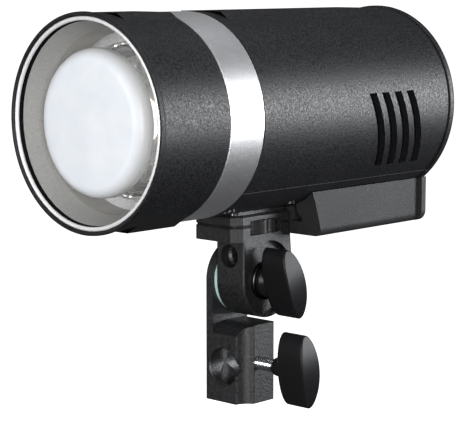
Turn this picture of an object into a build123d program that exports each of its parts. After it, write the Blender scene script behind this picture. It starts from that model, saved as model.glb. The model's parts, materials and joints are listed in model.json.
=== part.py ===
from build123d import *
import math
import os

# Monolight strobe on a tilting stand bracket.
# Row frame: origin at the mouth of the vertical stand socket, on its axis.
# +Z up, the light fires toward -Y, +X is the side that carries both knobs. Millimetres.

# ---------------------------------------------------------------- driving dimensions
BARREL_Z = 128.1        # barrel axis height above the socket mouth
RIM_Y = -90.95          # front rim plane
LENGTH = 190.0          # front rim to the back of the rear cap
R_RIM, R_NOSE_F, R_NOSE_R = 44.85, 44.25, 44.0
R_RING, R_BODY, R_BODY_IN, R_CAP = 44.0, 43.75, 40.9, 44.6
Y_NOSE_END, Y_RING_0, Y_RING_1, Y_SHELL_0 = 39.0, 39.5, 59.4, 59.9
Y_SHELL_1, Y_CAP_0 = 185.5, 185.8
Y_NOSE_PAD, Y_NOSE_UNDER = 8.7, 11.8     # where the raised pads on and under the nose begin
Y_BODY_PAD_0, Y_BODY_PAD_1, Y_BODY_PAD_2 = 67.2, 170.9, 182.4
SEAM_ANGLE = -45.0                       # seam between the shells, below the horizontal

VENT_COUNT, VENT_PITCH, VENT_WIDTH = 4, 8.8, 5.1
VENT_Y0, VENT_TOP, VENT_BOTTOM, VENT_LEAN = 128.1, 10.5, -35.0, 0.2826   # lean in mm per degree

HINGE_Y, HINGE_Z = 6.55, 53.8            # tilt axis, along X
R_LUG, R_ARM, R_BOLT = 16.3, 16.47, 4.0
ARM_X0, ARM_X1 = -10.2, -6.3
WASHER_X0, WASHER_X1 = -6.3, -4.3
LUG_X0, LUG_X1 = -4.2, 12.3
BLOCK_X1, BLOCK_Y0, BLOCK_Y1, BLOCK_TOP = 12.3, -9.92, 10.5, 35.1
R_SOCKET, SOCKET_DEPTH, CROSS_X, CROSS_Z = 8.1, 31.0, 0.0, 16.0
SCREW_Z = 18.15
R_CLAMP_SCREW = 2.95
PLATE_HALF, PLATE_Y0, PLATE_Y1 = 12.6, -15.3, 21.05
PLATE_Z0, SEAM_Z = 72.6, 79.3
UMB_X, UMB_Z, R_UMB, R_UMB_MOUTH = 3.6, 65.7, 4.1, 5.1
WHEEL_Y, R_WHEEL, WHEEL_Z0, WHEEL_Z1 = 3.75, 13.8, 75.4, 81.4
WINDOW_Y0, WINDOW_Y1, WINDOW_Z0, WINDOW_Z1 = -6.05, 13.55, 75.1, 81.7

KNOB_A, KNOB_B, KNOB_T, KNOB_CROWN = 16.4, 6.0, 12.3, 2.2   # half length, half width, thickness, crown
TILT_KNOB_X, TILT_KNOB_TURN = 14.4, 18.0
CLAMP_KNOB_X, CLAMP_KNOB_TURN = 28.2, 6.5

BATT_HALF, BATT_END_HALF, BATT_Z0, BATT_END_Z0 = 26.8, 28.9, 72.6, 72.9
BATT_Y_TOP, BATT_Y_BOTTOM = 109.0, 115.6

os.makedirs("parts", exist_ok=True)


def yb(v):
    """Row y of a distance measured back from the front rim."""
    return RIM_Y + v


def front(y, x=0.0, z=0.0):
    """Plane whose local axes are row X and Z; extruding a negative amount goes toward +Y."""
    return Plane(origin=(x, y, z), x_dir=(1, 0, 0), z_dir=(0, -1, 0))


def side(x, y=0.0, z=0.0):
    """Plane whose local axes are row Y and Z; extruding goes toward +X."""
    return Plane(origin=(x, y, z), x_dir=(0, 1, 0), z_dir=(1, 0, 0))


def deck(z, x=0.0, y=0.0):
    """Plane whose local axes are row X and Y; extruding goes toward +Z."""
    return Plane(origin=(x, y, z), x_dir=(1, 0, 0), z_dir=(0, 0, 1))


def pol(r, deg):
    return (r * math.cos(math.radians(deg)), r * math.sin(math.radians(deg)))


PROF = side(0, RIM_Y, BARREL_Z)                       # local x = distance behind the rim, local y = radius
BARREL = Axis((0, 0, BARREL_Z), (0, 1, 0))
HINGE = Axis((0, HINGE_Y, HINGE_Z), (1, 0, 0))
CLAMP = Axis((0, 0, SCREW_Z), (1, 0, 0))

# ================================================================ stand bracket (root)
# Cast block: vertical and cross sockets for a 5/8 inch spigot, with the arm that carries the hinge.
with BuildPart() as stand_block:
    with BuildSketch(deck(0)):
        with BuildLine():
            Polyline((7.6, BLOCK_Y0), (ARM_X0, BLOCK_Y0), (ARM_X0, BLOCK_Y1), (BLOCK_X1, BLOCK_Y1), (BLOCK_X1, -3.4))
            ThreePointArc((BLOCK_X1, -3.4), (9.3, -5.8), (7.6, BLOCK_Y0))
        make_face()
    extrude(amount=BLOCK_TOP)
    # the front top edge of the block is ramped
    with BuildSketch(side(ARM_X1)):
        with BuildLine():
            Polyline((BLOCK_Y0 - 1, 30.0), (BLOCK_Y0, 30.4), (-6.2, 33.6), (-2.4, BLOCK_TOP), (-2.4, BLOCK_TOP + 2), (BLOCK_Y0 - 1, BLOCK_TOP + 2), close=True)
        make_face()
    extrude(amount=BLOCK_X1 - ARM_X1 + 1, mode=Mode.SUBTRACT)
    # arm plate, rounded about the hinge
    with BuildSketch(side(ARM_X0)):
        with BuildLine():
            Polyline((HINGE_Y + R_ARM, HINGE_Z), (15.5, 40.0), (BLOCK_Y1, 31.0), (BLOCK_Y1, 0), (BLOCK_Y0, 0), (BLOCK_Y0, HINGE_Z))
            ThreePointArc((BLOCK_Y0, HINGE_Z), (HINGE_Y, HINGE_Z + R_ARM), (HINGE_Y + R_ARM, HINGE_Z))
        make_face()
    extrude(amount=ARM_X1 - ARM_X0)
    fillet(stand_block.edges().filter_by(Axis.Z).filter_by(lambda e: abs(e.center().X - BLOCK_X1) < 0.01 and e.length > 20), radius=1.2)
    # vertical socket, blind
    with BuildSketch(deck(0)):
        Circle(R_SOCKET)
    extrude(amount=SOCKET_DEPTH, mode=Mode.SUBTRACT)
    # cross socket, through, with both mouths chamfered
    with BuildSketch(front(BLOCK_Y0 - 0.01, CROSS_X, CROSS_Z)):
        Circle(R_SOCKET)
    extrude(amount=-(BLOCK_Y1 - BLOCK_Y0 + 1), mode=Mode.SUBTRACT)
    with BuildSketch(side(CROSS_X, 0, CROSS_Z)):
        with BuildLine():
            Polyline((BLOCK_Y0 - 0.02, 0), (BLOCK_Y0 - 0.02, R_SOCKET + 0.52), (BLOCK_Y0 + 0.5, R_SOCKET), (BLOCK_Y0 + 0.5, 0), close=True)
        make_face()
        with BuildLine():
            Polyline((BLOCK_Y1 + 0.02, 0), (BLOCK_Y1 + 0.02, R_SOCKET + 0.52), (BLOCK_Y1 - 0.5, R_SOCKET), (BLOCK_Y1 - 0.5, 0), close=True)
        make_face()
    revolve(axis=Axis((CROSS_X, 0, CROSS_Z), (0, 1, 0)), mode=Mode.SUBTRACT)
    # clamp screw hole through the pad
    with BuildSketch(side(0, 0, SCREW_Z)):
        Circle(R_CLAMP_SCREW + 0.06)
    extrude(amount=BLOCK_X1 + 2, mode=Mode.SUBTRACT)
    # hinge bolt hole
    with BuildSketch(side(ARM_X0 - 1, HINGE_Y, HINGE_Z)):
        Circle(R_BOLT)
    extrude(amount=ARM_X1 - ARM_X0 + 2, mode=Mode.SUBTRACT)
stand_block.part.label = "stand_block"
export_step(stand_block.part, "parts/stand_block.step")

# Fibre friction washer between arm and lug.
with BuildPart() as friction_washer:
    with BuildSketch(side(WASHER_X0, HINGE_Y, HINGE_Z)):
        Circle(15.3)
        Circle(R_BOLT, mode=Mode.SUBTRACT)
    extrude(amount=WASHER_X1 - WASHER_X0)
friction_washer.part.label = "friction_washer"
export_step(friction_washer.part, "parts/friction_washer.step")

# Hinge bolt: domed hexagon head outside the arm, shank through arm, washer and lug into the knob.
with BuildPart() as tilt_bolt:
    with BuildSketch(side(ARM_X0, HINGE_Y, HINGE_Z)):
        RegularPolygon(6.5, 6)
    extrude(amount=-3.0)
    chamfer(tilt_bolt.faces().sort_by(Axis.X)[0].edges(), length=0.6)
    with BuildSketch(side(ARM_X0, HINGE_Y, HINGE_Z)):
        Circle(R_BOLT)
    extrude(amount=21.5 - ARM_X0)
    chamfer(tilt_bolt.faces().sort_by(Axis.X)[-1].edges(), length=0.7)
tilt_bolt.part.label = "tilt_bolt"
export_step(tilt_bolt.part, "parts/tilt_bolt.step")

# ---------------------------------------------------------------- tilt knob and its washer
with BuildPart() as tilt_washer:
    with BuildSketch(side(9.4, HINGE_Y, HINGE_Z)):
        Circle(8.6)
        Circle(R_BOLT + 0.3, mode=Mode.SUBTRACT)
    extrude(amount=1.5)
    chamfer(tilt_washer.faces().sort_by(Axis.X)[-1].edges(), length=0.3)
tilt_washer.part.label = "tilt_washer"
export_step(tilt_washer.part, "parts/tilt_washer.step")

ta = math.radians(TILT_KNOB_TURN)
TILT_LONG = (0, -math.sin(ta), math.cos(ta))
with BuildPart() as tilt_knob:
    with BuildSketch(Plane(origin=(TILT_KNOB_X, HINGE_Y, HINGE_Z), x_dir=TILT_LONG, z_dir=(1, 0, 0))):
        Ellipse(KNOB_A, KNOB_B)
    extrude(amount=KNOB_T + KNOB_CROWN)
    with BuildSketch(Plane(origin=(TILT_KNOB_X, HINGE_Y, HINGE_Z), x_dir=TILT_LONG, z_dir=(0, math.cos(ta), math.sin(ta)))):
        with BuildLine():
            Polyline((KNOB_A + 1, KNOB_T - 0.2), (KNOB_A + 1, 0), (-KNOB_A - 1, 0), (-KNOB_A - 1, KNOB_T - 0.2))
            ThreePointArc((-KNOB_A - 1, KNOB_T - 0.2), (0, KNOB_T + KNOB_CROWN), (KNOB_A + 1, KNOB_T - 0.2))
        make_face()
    extrude(amount=10, both=True, mode=Mode.INTERSECT)
    fillet(tilt_knob.faces().sort_by(Axis.X)[-1].edges(), radius=0.8)
    fillet(tilt_knob.faces().sort_by(Axis.X)[0].edges(), radius=0.8)
    with BuildSketch(front(HINGE_Y, 0, HINGE_Z)):
        with BuildLine():
            Polyline((10.95, 0), (10.95, 7.2), (12.6, 7.2), (TILT_KNOB_X + 0.9, 4.9), (TILT_KNOB_X + 5, 4.6), (TILT_KNOB_X + 5, 0), close=True)
        make_face()
    revolve(axis=HINGE)
    with BuildSketch(side(10, HINGE_Y, HINGE_Z)):
        Circle(R_BOLT + 0.06)
    extrude(amount=14.0, mode=Mode.SUBTRACT)
tilt_knob.part.label = "tilt_knob"
export_step(tilt_knob.part, "parts/tilt_knob.step")

# ---------------------------------------------------------------- clamp screw, its pad and knob
with BuildPart() as clamp_pad:
    with BuildSketch(side(8.3, 0, SCREW_Z)):
        Circle(R_CLAMP_SCREW - 0.05)
    extrude(amount=2.0)
    chamfer(clamp_pad.faces().sort_by(Axis.X)[0].edges(), length=0.4)
clamp_pad.part.label = "clamp_pad"
export_step(clamp_pad.part, "parts/clamp_pad.step")

with BuildPart() as clamp_screw:
    with BuildSketch(side(10.35, 0, SCREW_Z)):
        Circle(R_CLAMP_SCREW)
    extrude(amount=25.6)
    chamfer(clamp_screw.faces().sort_by(Axis.X)[0].edges(), length=0.5)
clamp_screw.part.label = "clamp_screw"
export_step(clamp_screw.part, "parts/clamp_screw.step")

ca = math.radians(CLAMP_KNOB_TURN)
CLAMP_LONG = (0, -math.sin(ca), math.cos(ca))
with BuildPart() as clamp_knob:
    with BuildSketch(Plane(origin=(CLAMP_KNOB_X, 0, SCREW_Z), x_dir=CLAMP_LONG, z_dir=(1, 0, 0))):
        Ellipse(KNOB_A, KNOB_B)
    extrude(amount=KNOB_T + KNOB_CROWN)
    with BuildSketch(Plane(origin=(CLAMP_KNOB_X, 0, SCREW_Z), x_dir=CLAMP_LONG, z_dir=(0, math.cos(ca), math.sin(ca)))):
        with BuildLine():
            Polyline((KNOB_A + 1, KNOB_T - 0.2), (KNOB_A + 1, 0), (-KNOB_A - 1, 0), (-KNOB_A - 1, KNOB_T - 0.2))
            ThreePointArc((-KNOB_A - 1, KNOB_T - 0.2), (0, KNOB_T + KNOB_CROWN), (KNOB_A + 1, KNOB_T - 0.2))
        make_face()
    extrude(amount=10, both=True, mode=Mode.INTERSECT)
    fillet(clamp_knob.faces().sort_by(Axis.X)[-1].edges(), radius=0.8)
    fillet(clamp_knob.faces().sort_by(Axis.X)[0].edges(), radius=0.8)
    with BuildSketch(front(0, 0, SCREW_Z)):
        with BuildLine():
            Polyline((22.6, 0), (22.6, 3.7), (23.4, 4.1), (CLAMP_KNOB_X - 1.5, 4.6), (CLAMP_KNOB_X + 1.0, 4.9), (CLAMP_KNOB_X + 5, 4.6), (CLAMP_KNOB_X + 5, 0), close=True)
        make_face()
    revolve(axis=CLAMP)
    with BuildSketch(side(20, 0, SCREW_Z)):
        Circle(R_CLAMP_SCREW)
    extrude(amount=16.0, mode=Mode.SUBTRACT)
clamp_knob.part.label = "clamp_knob"
export_step(clamp_knob.part, "parts/clamp_knob.step")

# ================================================================ tilt head
CY = (PLATE_Y0 + PLATE_Y1) / 2
# Cast head: lug on the hinge, neck with the umbrella bore, plate under the foot.
with BuildPart() as tilt_head:
    with BuildSketch(side(LUG_X0)):
        with BuildLine():
            Polyline((HINGE_Y - R_LUG, HINGE_Z), (HINGE_Y - R_LUG, PLATE_Z0 + 1), (PLATE_Y1, PLATE_Z0 + 1), (HINGE_Y + R_LUG, HINGE_Z))
            ThreePointArc((HINGE_Y + R_LUG, HINGE_Z), (HINGE_Y, HINGE_Z - R_LUG), (HINGE_Y - R_LUG, HINGE_Z))
        make_face()
    extrude(amount=LUG_X1 - LUG_X0)
    fillet(tilt_head.faces().filter_by(Axis.X).sort_by(Axis.X)[0].edges(), radius=0.9)
    fillet(tilt_head.faces().filter_by(Axis.X).sort_by(Axis.X)[-1].edges(), radius=0.9)
    with BuildSketch(deck(PLATE_Z0, 0, (PLATE_Y0 + PLATE_Y1) / 2)):
        RectangleRounded(2 * PLATE_HALF, PLATE_Y1 - PLATE_Y0, 2.6)
        with BuildLine():
            Polyline((9.4, PLATE_Y0 - CY - 1), (9.4, PLATE_Y0 - CY), (PLATE_HALF, -10.6 - CY), (PLATE_HALF + 1, -10.6 - CY), (PLATE_HALF + 1, PLATE_Y0 - CY - 1), close=True)
        make_face(mode=Mode.SUBTRACT)
    extrude(amount=SEAM_Z - PLATE_Z0)
    chamfer(tilt_head.faces().sort_by(Axis.Z)[-1].outer_wire().edges(), length=0.7)
    # wheel chamber, open at both sides
    with BuildSketch(deck(WINDOW_Z0, 0, WHEEL_Y)):
        Circle(R_WHEEL + 0.5)
        Rectangle(2 * PLATE_HALF + 4, WINDOW_Y1 - WINDOW_Y0)
    extrude(amount=SEAM_Z - WINDOW_Z0 + 1, mode=Mode.SUBTRACT)
    with BuildSketch(deck(WINDOW_Z0 - 2.0, 0, WHEEL_Y)):
        Circle(3.5)
    extrude(amount=3.0, mode=Mode.SUBTRACT)
    # umbrella bore with chamfered mouths
    with BuildSketch(front(PLATE_Y0, UMB_X, UMB_Z)):
        Circle(R_UMB)
    extrude(amount=-50, mode=Mode.SUBTRACT)
    with BuildSketch(side(UMB_X, 0, UMB_Z)):
        with BuildLine():
            Polyline((-9.77, 0), (-9.77, R_UMB_MOUTH), (-4.7, R_UMB_MOUTH), (-3.7, R_UMB), (-3.7, 0), close=True)
        make_face()
    revolve(axis=Axis((UMB_X, 0, UMB_Z), (0, 1, 0)), mode=Mode.SUBTRACT)
    # hinge bore
    with BuildSketch(side(LUG_X0 - 1, HINGE_Y, HINGE_Z)):
        Circle(R_BOLT + 0.05)
    extrude(amount=LUG_X1 - LUG_X0 + 2, mode=Mode.SUBTRACT)
    # recess for the knob's hub
    with BuildSketch(side(9.3)):
        with BuildLine():
            Polyline((HINGE_Y - 14.7, HINGE_Z), (HINGE_Y - 14.7, HINGE_Z + 3.3))
            ThreePointArc((HINGE_Y - 14.7, HINGE_Z + 3.3), (HINGE_Y, HINGE_Z + 18.0), (HINGE_Y + 14.7, HINGE_Z + 3.3))
            Polyline((HINGE_Y + 14.7, HINGE_Z + 3.3), (HINGE_Y + 14.7, HINGE_Z))
            ThreePointArc((HINGE_Y + 14.7, HINGE_Z), (HINGE_Y, HINGE_Z - 14.7), (HINGE_Y - 14.7, HINGE_Z))
        make_face()
    extrude(amount=LUG_X1 - 9.3 + 1, mode=Mode.SUBTRACT)
tilt_head.part.label = "tilt_head"
export_step(tilt_head.part, "parts/tilt_head.step")

# Saddle foot between the head and the barrel.
with BuildPart() as foot_plate:
    with BuildSketch(deck(SEAM_Z, 0, CY)):
        RectangleRounded(2 * PLATE_HALF, PLATE_Y1 - PLATE_Y0, 2.6)
        with BuildLine():
            Polyline((9.4, PLATE_Y0 - CY - 1), (9.4, PLATE_Y0 - CY), (PLATE_HALF, -10.6 - CY), (PLATE_HALF + 1, -10.6 - CY), (PLATE_HALF + 1, PLATE_Y0 - CY - 1), close=True)
        make_face(mode=Mode.SUBTRACT)
    extrude(amount=5.0)
    chamfer(foot_plate.faces().sort_by(Axis.Z)[-1].outer_wire().edges(), length=0.9)
    chamfer(foot_plate.faces().sort_by(Axis.Z)[0].outer_wire().edges(), length=0.7)
    with BuildSketch(deck(SEAM_Z + 2, 0, CY)):
        RectangleRounded(21.4, PLATE_Y1 - PLATE_Y0 - 4.0, 2.0)
    extrude(amount=8)
    with BuildSketch(front(PLATE_Y0 - 1, 0, BARREL_Z)):
        Circle(R_BODY)
    extrude(amount=-(PLATE_Y1 - PLATE_Y0 + 2), mode=Mode.SUBTRACT)
    with BuildSketch(deck(SEAM_Z, 0, WHEEL_Y)):
        Circle(R_WHEEL + 0.5)
        Rectangle(2 * PLATE_HALF + 4, WINDOW_Y1 - WINDOW_Y0)
    extrude(amount=WINDOW_Z1 - SEAM_Z, mode=Mode.SUBTRACT)
    with BuildSketch(deck(SEAM_Z, 0, WHEEL_Y)):
        Circle(5.0)
    extrude(amount=12, mode=Mode.SUBTRACT)
    with BuildSketch(deck(SEAM_Z)):
        with Locations((8.5, -11.9), (-8.5, -11.9), (8.5, 18.3), (-8.5, 18.3)):
            Circle(1.55)
    extrude(amount=12, mode=Mode.SUBTRACT)
    with BuildSketch(deck(SEAM_Z)):
        with Locations((8.5, -11.9), (-8.5, -11.9), (8.5, 18.3), (-8.5, 18.3)):
            Circle(2.35)
    extrude(amount=2.0, mode=Mode.SUBTRACT)
foot_plate.part.label = "foot_plate"
export_step(foot_plate.part, "parts/foot_plate.step")

with BuildPart() as foot_screws:
    with BuildSketch(deck(SEAM_Z + 0.2)):
        with Locations((8.5, -11.9), (-8.5, -11.9), (8.5, 18.3), (-8.5, 18.3)):
            Circle(2.25)
    extrude(amount=1.8)
    with BuildSketch(deck(SEAM_Z + 1.5)):
        with Locations((8.5, -11.9), (-8.5, -11.9), (8.5, 18.3), (-8.5, 18.3)):
            Circle(1.5)
    extrude(amount=7.0)
foot_screws.part.label = "foot_screws"
export_step(foot_screws.part, "parts/foot_screws.step")

# Brass insert that takes the quarter inch screw.
with BuildPart() as tripod_insert:
    with BuildSketch(deck(WINDOW_Z1, 0, WHEEL_Y)):
        Circle(5.0)
        Circle(3.25, mode=Mode.SUBTRACT)
    extrude(amount=6.6)
tripod_insert.part.label = "tripod_insert"
export_step(tripod_insert.part, "parts/tripod_insert.step")

# Coarse ribbed thumb wheel and its captive screw.
with BuildPart() as thumb_wheel:
    with BuildSketch(deck(WHEEL_Z0, 0, WHEEL_Y)):
        Circle(R_WHEEL)
        with PolarLocations(R_WHEEL + 0.25, 21):
            Rectangle(2.4, 1.5, mode=Mode.SUBTRACT)
        Circle(3.18, mode=Mode.SUBTRACT)
    extrude(amount=WHEEL_Z1 - WHEEL_Z0)
thumb_wheel.part.label = "thumb_wheel"
export_step(thumb_wheel.part, "parts/thumb_wheel.step")

with BuildPart() as thumb_screw:
    with BuildSketch(deck(WINDOW_Z0 - 1.6, 0, WHEEL_Y)):
        Circle(3.18)
    extrude(amount=12.5)
    chamfer(thumb_screw.faces().sort_by(Axis.Z)[-1].edges(), length=0.5)
thumb_screw.part.label = "thumb_screw"
export_step(thumb_screw.part, "parts/thumb_screw.step")

# ================================================================ barrel shells
with BuildPart() as nose_tube:
    with BuildSketch(PROF):
        with BuildLine():
            Polyline((0.35, 43.1), (0.0, 43.6), (0.0, R_RIM - 0.4), (0.35, R_RIM - 0.05), (1.3, R_RIM), (1.9, R_RIM - 0.2), (2.5, R_NOSE_F),
                     (Y_NOSE_END - 0.4, R_NOSE_R), (Y_NOSE_END, R_NOSE_R - 0.4), (Y_NOSE_END, 38.2), (13.5, 38.3), (3.6, 41.9), (3.6, 43.1), close=True)
        make_face()
    revolve(axis=BARREL)
    # raised pads that square off the top and the underside
    with BuildSketch(front(yb(Y_NOSE_PAD), 0, BARREL_Z)):
        with BuildLine():
            Polyline((-15.6, 41.2), (-10.8, R_NOSE_F - 0.1), (10.8, R_NOSE_F - 0.1), (15.6, 41.2), (8.0, 42.2), (-8.0, 42.2), close=True)
        make_face()
    extrude(amount=-(Y_NOSE_END - 0.4 - Y_NOSE_PAD))
    with BuildSketch(front(yb(Y_NOSE_UNDER), 0, BARREL_Z)):
        with BuildLine():
            Polyline((-19.7, -39.2), (-12.5, -43.95), (12.5, -43.95), (19.7, -39.2), (9.0, -41.6), (-9.0, -41.6), close=True)
        make_face()
    extrude(amount=-(Y_NOSE_END - 0.4 - Y_NOSE_UNDER))
nose_tube.part.label = "nose_tube"
export_step(nose_tube.part, "parts/nose_tube.step")

with BuildPart() as rim_ring:
    with BuildSketch(PROF):
        with BuildLine():
            Polyline((0.55, 42.95), (0.35, 42.6), (0.35, 42.2), (0.7, 41.9), (1.5, 41.75), (1.5, 41.45), (1.1, 41.3), (1.3, 40.9), (2.2, 40.7), (3.6, 40.6), (3.6, 43.1), (0.9, 43.1), close=True)
        make_face()
    revolve(axis=BARREL)
rim_ring.part.label = "rim_ring"
export_step(rim_ring.part, "parts/rim_ring.step")

with BuildPart() as reflector_wall:
    with BuildSketch(PROF):
        with BuildLine():
            Polyline((3.6, 40.9), (3.6, 41.85), (13.5, 38.25), (39.0, 38.15), (39.0, 36.7), (26.0, 36.8), (20.0, 37.1), (13.4, 37.6), (8.0, 39.3), close=True)
        make_face()
    revolve(axis=BARREL)
reflector_wall.part.label = "reflector_wall"
export_step(reflector_wall.part, "parts/reflector_wall.step")

# Speckled annular plate in front of the chrome bowl.
with BuildPart() as reflector:
    with BuildSketch(PROF):
        with BuildLine():
            Polyline((24.9, 36.75), (25.3, 32.4), (25.7, 32.0), (26.3, 32.4), (25.9, 36.75), close=True)
        make_face()
    revolve(axis=BARREL)
reflector.part.label = "reflector"
export_step(reflector.part, "parts/reflector.step")

with BuildPart() as chrome_bowl:
    with BuildSketch(PROF):
        with BuildLine():
            Polyline((26.6, 36.6), (27.6, 36.6), (27.6, 32.2), (29.4, 31.8), (33.5, 29.6), (36.0, 25.6), (36.0, 14.2), (35.0, 14.2), (35.0, 25.2), (32.8, 28.8), (29.0, 30.9), (26.6, 31.2), close=True)
        make_face()
    revolve(axis=BARREL)
chrome_bowl.part.label = "chrome_bowl"
export_step(chrome_bowl.part, "parts/chrome_bowl.step")

with BuildPart() as lamp_base:
    with BuildSketch(PROF):
        with BuildLine():
            Polyline((33.2, 0), (33.2, 13.0), (33.8, 13.7), (39.0, 13.7), (39.0, 0), close=True)
        make_face()
    revolve(axis=BARREL)
lamp_base.part.label = "lamp_base"
export_step(lamp_base.part, "parts/lamp_base.step")

with BuildPart() as model_lamp:
    with BuildSketch(PROF):
        with BuildLine():
            Polyline((31.2, 0), (31.6, 6.0), (32.2, 9.4), (33.2, 9.9), (33.2, 0), close=True)
        make_face()
    revolve(axis=BARREL)
model_lamp.part.label = "model_lamp"
export_step(model_lamp.part, "parts/model_lamp.step")

# Ring flash tube, open at the bottom, with two legs into sockets.
TUBE_R, TUBE_r, TUBE_Y = 21.5, 2.8, 18.5
with BuildPart() as flash_tube:
    gap = math.radians(-90 + 14)
    with BuildSketch(Plane(origin=(0, yb(TUBE_Y), BARREL_Z), x_dir=(math.cos(gap), 0, math.sin(gap)), z_dir=(-math.sin(gap), 0, math.cos(gap)))):
        with Locations((TUBE_R, 0)):
            Circle(TUBE_r)
    revolve(axis=Axis((0, 0, BARREL_Z), (0, -1, 0)), revolution_arc=332)
    for a in (-90 + 14, -90 - 14):
        with BuildSketch(front(yb(TUBE_Y), 0, BARREL_Z)):
            with Locations(pol(TUBE_R, a)):
                Circle(TUBE_r)
        extrude(amount=-(31.0 - TUBE_Y))
    fillet_balls = [(*pol(TUBE_R, a),) for a in (-90 + 14, -90 - 14)]
    with Locations(*[(x, yb(TUBE_Y), BARREL_Z + z) for x, z in fillet_balls]):
        Sphere(TUBE_r)
flash_tube.part.label = "flash_tube"
export_step(flash_tube.part, "parts/flash_tube.step")

with BuildPart() as tube_sockets:
    with BuildSketch(front(yb(31.0), 0, BARREL_Z)):
        with Locations(pol(TUBE_R, -76), pol(TUBE_R, -104)):
            Circle(3.5)
    extrude(amount=-4.0)
tube_sockets.part.label = "tube_sockets"
export_step(tube_sockets.part, "parts/tube_sockets.step")

with BuildPart() as dome_seat:
    with BuildSketch(PROF):
        with BuildLine():
            Polyline((28.5, 26.6), (28.5, 27.8), (29.0, 28.1), (31.5, 28.1), (33.2, 26.6), close=True)
        make_face()
    revolve(axis=BARREL)
dome_seat.part.label = "dome_seat"
export_step(dome_seat.part, "parts/dome_seat.step")

# Frosted glass dome, a shallow cup.
with BuildPart() as glass_dome:
    with BuildSketch(PROF):
        with BuildLine():
            Polyline((28.0, 28.4), (8.0, 28.4))
            ThreePointArc((8.0, 28.4), (6.25, 27.2), (5.4, 24.5))
            Polyline((5.4, 24.5), (5.05, 19.0), (4.75, 13.0), (4.55, 7.0), (4.5, 3.0), (4.5, 0), (2.3, 0), (2.3, 3.0), (2.34, 8.0), (2.46, 14.0), (2.66, 20.0), (2.9, 25.6))
            ThreePointArc((2.9, 25.6), (4.0, 29.2), (7.2, 30.4))
            Polyline((7.2, 30.4), (28.0, 30.4), (28.0, 28.4))
        make_face()
    revolve(axis=BARREL)
glass_dome.part.label = "glass_dome"
export_step(glass_dome.part, "parts/glass_dome.step")

with BuildPart() as bulkhead:
    with BuildSketch(front(yb(39.0), 0, BARREL_Z)):
        Circle(40.9)
        with Locations((26, 0), (-26, 0)):
            Circle(4.0, mode=Mode.SUBTRACT)
    extrude(amount=-3.0)
bulkhead.part.label = "bulkhead"
export_step(bulkhead.part, "parts/bulkhead.step")

with BuildPart() as heat_sink:
    with BuildSketch(front(yb(42.0), 0, BARREL_Z)):
        RectangleRounded(32, 32, 2)
    extrude(amount=-2.0)
    with BuildSketch(front(yb(44.0), 0, BARREL_Z)):
        with GridLocations(5.0, 0, 7, 1):
            Rectangle(1.4, 30)
    extrude(amount=-5.5)
heat_sink.part.label = "heat_sink"
export_step(heat_sink.part, "parts/heat_sink.step")

# Satin ring between nose and body, with a narrow sunk collar at each end.
with BuildPart() as accent_ring:
    with BuildSketch(PROF):
        with BuildLine():
            Polyline((Y_NOSE_END, 41.0), (Y_NOSE_END, 42.4), (Y_RING_0, 42.4), (Y_RING_0, R_RING - 0.35), (Y_RING_0 + 0.35, R_RING),
                     (Y_RING_1 - 0.35, R_RING), (Y_RING_1, R_RING - 0.35), (Y_RING_1, 42.4), (Y_SHELL_0, 42.4), (Y_SHELL_0, 41.0), close=True)
        make_face()
    revolve(axis=BARREL)
accent_ring.part.label = "accent_ring"
export_step(accent_ring.part, "parts/accent_ring.step")


def vent_points(k):
    """Outline of vent k seen from the side, as (row y, row z) pairs."""
    a, b = [], []
    steps = [VENT_TOP + (VENT_BOTTOM - VENT_TOP) * i / 6 for i in range(7)]
    for t in steps:
        y = yb(VENT_Y0 + VENT_PITCH * k + VENT_LEAN * (VENT_TOP - t))
        z = BARREL_Z + R_BODY * math.sin(math.radians(t))
        a.append((y, z))
        b.append((y + VENT_WIDTH, z))
    return a + b[::-1]


S1 = pol(60, SEAM_ANGLE)
S2 = pol(60, 180 - SEAM_ANGLE)
# Raised pad along the top of the body, ramped down at its rear end.
with BuildPart() as top_pad:
    with BuildSketch(front(yb(Y_BODY_PAD_0), 0, BARREL_Z)):
        with BuildLine():
            Polyline((-16.6, 40.3), (-11.4, R_BODY + 0.2), (11.4, R_BODY + 0.2), (16.6, 40.3), (8.0, 42.0), (-8.0, 42.0), close=True)
        make_face()
    extrude(amount=-(Y_BODY_PAD_2 - Y_BODY_PAD_0))
    with BuildSketch(side(-30, RIM_Y, BARREL_Z)):
        with BuildLine():
            Polyline((Y_BODY_PAD_1, R_BODY + 0.2), (Y_BODY_PAD_2, 40.0), (Y_BODY_PAD_2 + 1, 40.0), (Y_BODY_PAD_2 + 1, 50), (Y_BODY_PAD_1, 50), close=True)
        make_face()
    extrude(amount=60, mode=Mode.SUBTRACT)

with BuildPart() as upper_shell:
    with BuildSketch(front(yb(Y_SHELL_0), 0, BARREL_Z)):
        Circle(R_BODY)
        Circle(R_BODY_IN, mode=Mode.SUBTRACT)
        with BuildLine():
            Polyline((0, 0), S1, (60, -90), (-60, -90), S2, close=True)
        make_face(mode=Mode.SUBTRACT)
    extrude(amount=-(Y_SHELL_1 - Y_SHELL_0))
    add(top_pad.part)
    for k in range(VENT_COUNT):
        with BuildSketch(side(20)):
            with BuildLine():
                Polyline(*vent_points(k), close=True)
            make_face()
        extrude(amount=30, mode=Mode.SUBTRACT)
        with BuildSketch(side(-50)):
            with BuildLine():
                Polyline(*vent_points(k), close=True)
            make_face()
        extrude(amount=30, mode=Mode.SUBTRACT)
upper_shell.part.label = "upper_shell"
export_step(upper_shell.part, "parts/upper_shell.step")

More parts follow.
